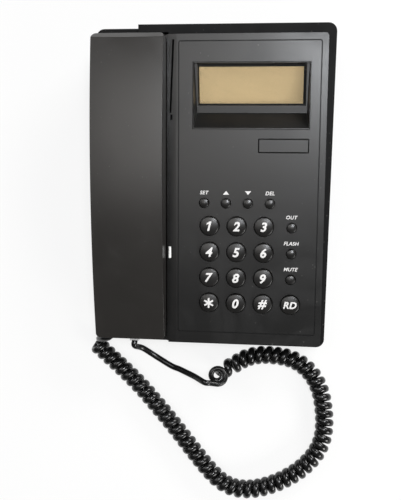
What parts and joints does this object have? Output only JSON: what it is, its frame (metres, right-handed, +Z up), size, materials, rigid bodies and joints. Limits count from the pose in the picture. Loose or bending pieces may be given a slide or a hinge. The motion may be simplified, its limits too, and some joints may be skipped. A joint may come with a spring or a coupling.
{
  "type": "corded telephone",
  "caption": "Corded desk telephone with a sloped keypad face, a tilted display, a handset lying in its cradle on the left and a curly cord between handset and base.",
  "frame": {"origin": "middle of the tray's outline, on the surface that the feet stand on", "axes": "+X to the right, +Y to the rear, +Z up"},
  "size_m": [0.1588, 0.2943, 0.0627],
  "materials": {
    "charcoal_plastic": "satin",
    "black_plastic": "satin",
    "window": "clear",
    "display_glass": "gloss",
    "soft_rubber": "matte",
    "board": "gloss",
    "steel": "brushed",
    "white_lens": "gloss",
    "brass": "satin",
    "grey_plastic": "matte",
    "aluminium_can": "satin",
    "clear_plug": "clear",
    "cord_jacket": "gloss"
  },
  "bodies": {
    "base": {"base_tray": "black_plastic", "top_cover": "charcoal_plastic", "display_bezel": "black_plastic", "display_window": "window", "lcd_glass": "display_glass", "display_carrier": "charcoal_plastic", "badge_plate": "charcoal_plastic", "key_mat": "soft_rubber", "main_board": "board", "board_screws": "steel", "indicator_lens": "white_lens", "indicator_led": "white_lens", "ringer_disc": "brass", "line_jack": "grey_plastic", "base_jack": "grey_plastic", "ballast_plate": "steel", "cover_screws": "steel", "feet": "soft_rubber", "hook_bracket": "grey_plastic", "hook_spring": "steel", "hook_switch": "black_plastic", "base_plug": "clear_plug", "curly_cord": "cord_jacket", "cord_tail": "cord_jacket"},
    "handset": {"handset_outer_shell": "charcoal_plastic", "handset_inner_shell": "charcoal_plastic", "receiver_capsule": "grey_plastic", "receiver_gasket": "soft_rubber", "microphone": "aluminium_can", "microphone_boot": "soft_rubber", "handset_weight": "steel", "handset_screws": "steel", "handset_jack": "grey_plastic", "handset_plug": "clear_plug"},
    "hook": {"hook_plunger": "charcoal_plastic"},
    "key_1": {"key_1": "charcoal_plastic"},
    "key_2": {"key_2": "charcoal_plastic"},
    "key_3": {"key_3": "charcoal_plastic"},
    "key_4": {"key_4": "charcoal_plastic"},
    "key_5": {"key_5": "charcoal_plastic"},
    "key_6": {"key_6": "charcoal_plastic"},
    "key_7": {"key_7": "charcoal_plastic"},
    "key_8": {"key_8": "charcoal_plastic"},
    "key_9": {"key_9": "charcoal_plastic"},
    "key_star": {"key_star": "charcoal_plastic"},
    "key_0": {"key_0": "charcoal_plastic"},
    "key_hash": {"key_hash": "charcoal_plastic"},
    "key_redial": {"key_redial": "charcoal_plastic"},
    "button_set": {"button_set": "charcoal_plastic"},
    "button_up": {"button_up": "charcoal_plastic"},
    "button_down": {"button_down": "charcoal_plastic"},
    "button_delete": {"button_delete": "charcoal_plastic"},
    "button_out": {"button_out": "charcoal_plastic"},
    "button_flash": {"button_flash": "charcoal_plastic"},
    "button_mute": {"button_mute": "charcoal_plastic"}
  },
  "joints": [
    {"name": "handset_lift", "type": "slide", "parent": "base", "child": "handset", "axis": [0, -0.1392, 0.9903], "range_m": [0, 0.08]},
    {"name": "hook_rise", "type": "slide", "parent": "base", "child": "hook", "axis": [0, -0.1392, 0.9903], "range_m": [0, 0.004], "deforming": ["hook_spring"]},
    {"name": "key_1_press", "type": "slide", "parent": "base", "child": "key_1", "axis": [0, 0.1392, -0.9903], "range_m": [0, 0.0012], "stiffness_N_per_m": 400, "springref_m": -0.0005},
    {"name": "key_2_press", "type": "slide", "parent": "base", "child": "key_2", "axis": [0, 0.1392, -0.9903], "range_m": [0, 0.0012], "stiffness_N_per_m": 400, "springref_m": -0.0005},
    {"name": "key_3_press", "type": "slide", "parent": "base", "child": "key_3", "axis": [0, 0.1392, -0.9903], "range_m": [0, 0.0012], "stiffness_N_per_m": 400, "springref_m": -0.0005},
    {"name": "key_4_press", "type": "slide", "parent": "base", "child": "key_4", "axis": [0, 0.1392, -0.9903], "range_m": [0, 0.0012], "stiffness_N_per_m": 400, "springref_m": -0.0005},
    {"name": "key_5_press", "type": "slide", "parent": "base", "child": "key_5", "axis": [0, 0.1392, -0.9903], "range_m": [0, 0.0012], "stiffness_N_per_m": 400, "springref_m": -0.0005},
    {"name": "key_6_press", "type": "slide", "parent": "base", "child": "key_6", "axis": [0, 0.1392, -0.9903], "range_m": [0, 0.0012], "stiffness_N_per_m": 400, "springref_m": -0.0005},
    {"name": "key_7_press", "type": "slide", "parent": "base", "child": "key_7", "axis": [0, 0.1392, -0.9903], "range_m": [0, 0.0012], "stiffness_N_per_m": 400, "springref_m": -0.0005},
    {"name": "key_8_press", "type": "slide", "parent": "base", "child": "key_8", "axis": [0, 0.1392, -0.9903], "range_m": [0, 0.0012], "stiffness_N_per_m": 400, "springref_m": -0.0005},
    {"name": "key_9_press", "type": "slide", "parent": "base", "child": "key_9", "axis": [0, 0.1392, -0.9903], "range_m": [0, 0.0012], "stiffness_N_per_m": 400, "springref_m": -0.0005},
    {"name": "key_star_press", "type": "slide", "parent": "base", "child": "key_star", "axis": [0, 0.1392, -0.9903], "range_m": [0, 0.0012], "stiffness_N_per_m": 400, "springref_m": -0.0005},
    {"name": "key_0_press", "type": "slide", "parent": "base", "child": "key_0", "axis": [0, 0.1392, -0.9903], "range_m": [0, 0.0012], "stiffness_N_per_m": 400, "springref_m": -0.0005},
    {"name": "key_hash_press", "type": "slide", "parent": "base", "child": "key_hash", "axis": [0, 0.1392, -0.9903], "range_m": [0, 0.0012], "stiffness_N_per_m": 400, "springref_m": -0.0005},
    {"name": "key_redial_press", "type": "slide", "parent": "base", "child": "key_redial", "axis": [0, 0.1392, -0.9903], "range_m": [0, 0.0012], "stiffness_N_per_m": 400, "springref_m": -0.0005},
    {"name": "button_set_press", "type": "slide", "parent": "base", "child": "button_set", "axis": [0, 0.1392, -0.9903], "range_m": [0, 0.001], "stiffness_N_per_m": 400, "springref_m": -0.0005},
    {"name": "button_up_press", "type": "slide", "parent": "base", "child": "button_up", "axis": [0, 0.1392, -0.9903], "range_m": [0, 0.001], "stiffness_N_per_m": 400, "springref_m": -0.0005},
    {"name": "button_down_press", "type": "slide", "parent": "base", "child": "button_down", "axis": [0, 0.1392, -0.9903], "range_m": [0, 0.001], "stiffness_N_per_m": 400, "springref_m": -0.0005},
    {"name": "button_delete_press", "type": "slide", "parent": "base", "child": "button_delete", "axis": [0, 0.1392, -0.9903], "range_m": [0, 0.001], "stiffness_N_per_m": 400, "springref_m": -0.0005},
    {"name": "button_out_press", "type": "slide", "parent": "base", "child": "button_out", "axis": [0, 0.1392, -0.9903], "range_m": [0, 0.001], "stiffness_N_per_m": 400, "springref_m": -0.0005},
    {"name": "button_flash_press", "type": "slide", "parent": "base", "child": "button_flash", "axis": [0, 0.1392, -0.9903], "range_m": [0, 0.001], "stiffness_N_per_m": 400, "springref_m": -0.0005},
    {"name": "button_mute_press", "type": "slide", "parent": "base", "child": "button_mute", "axis": [0, 0.1392, -0.9903], "range_m": [0, 0.001], "stiffness_N_per_m": 400, "springref_m": -0.0005}
  ],
  "couplings": [
    {"joint": "hook_rise", "follows": "handset_lift", "ratio": 0.05}
  ]
}
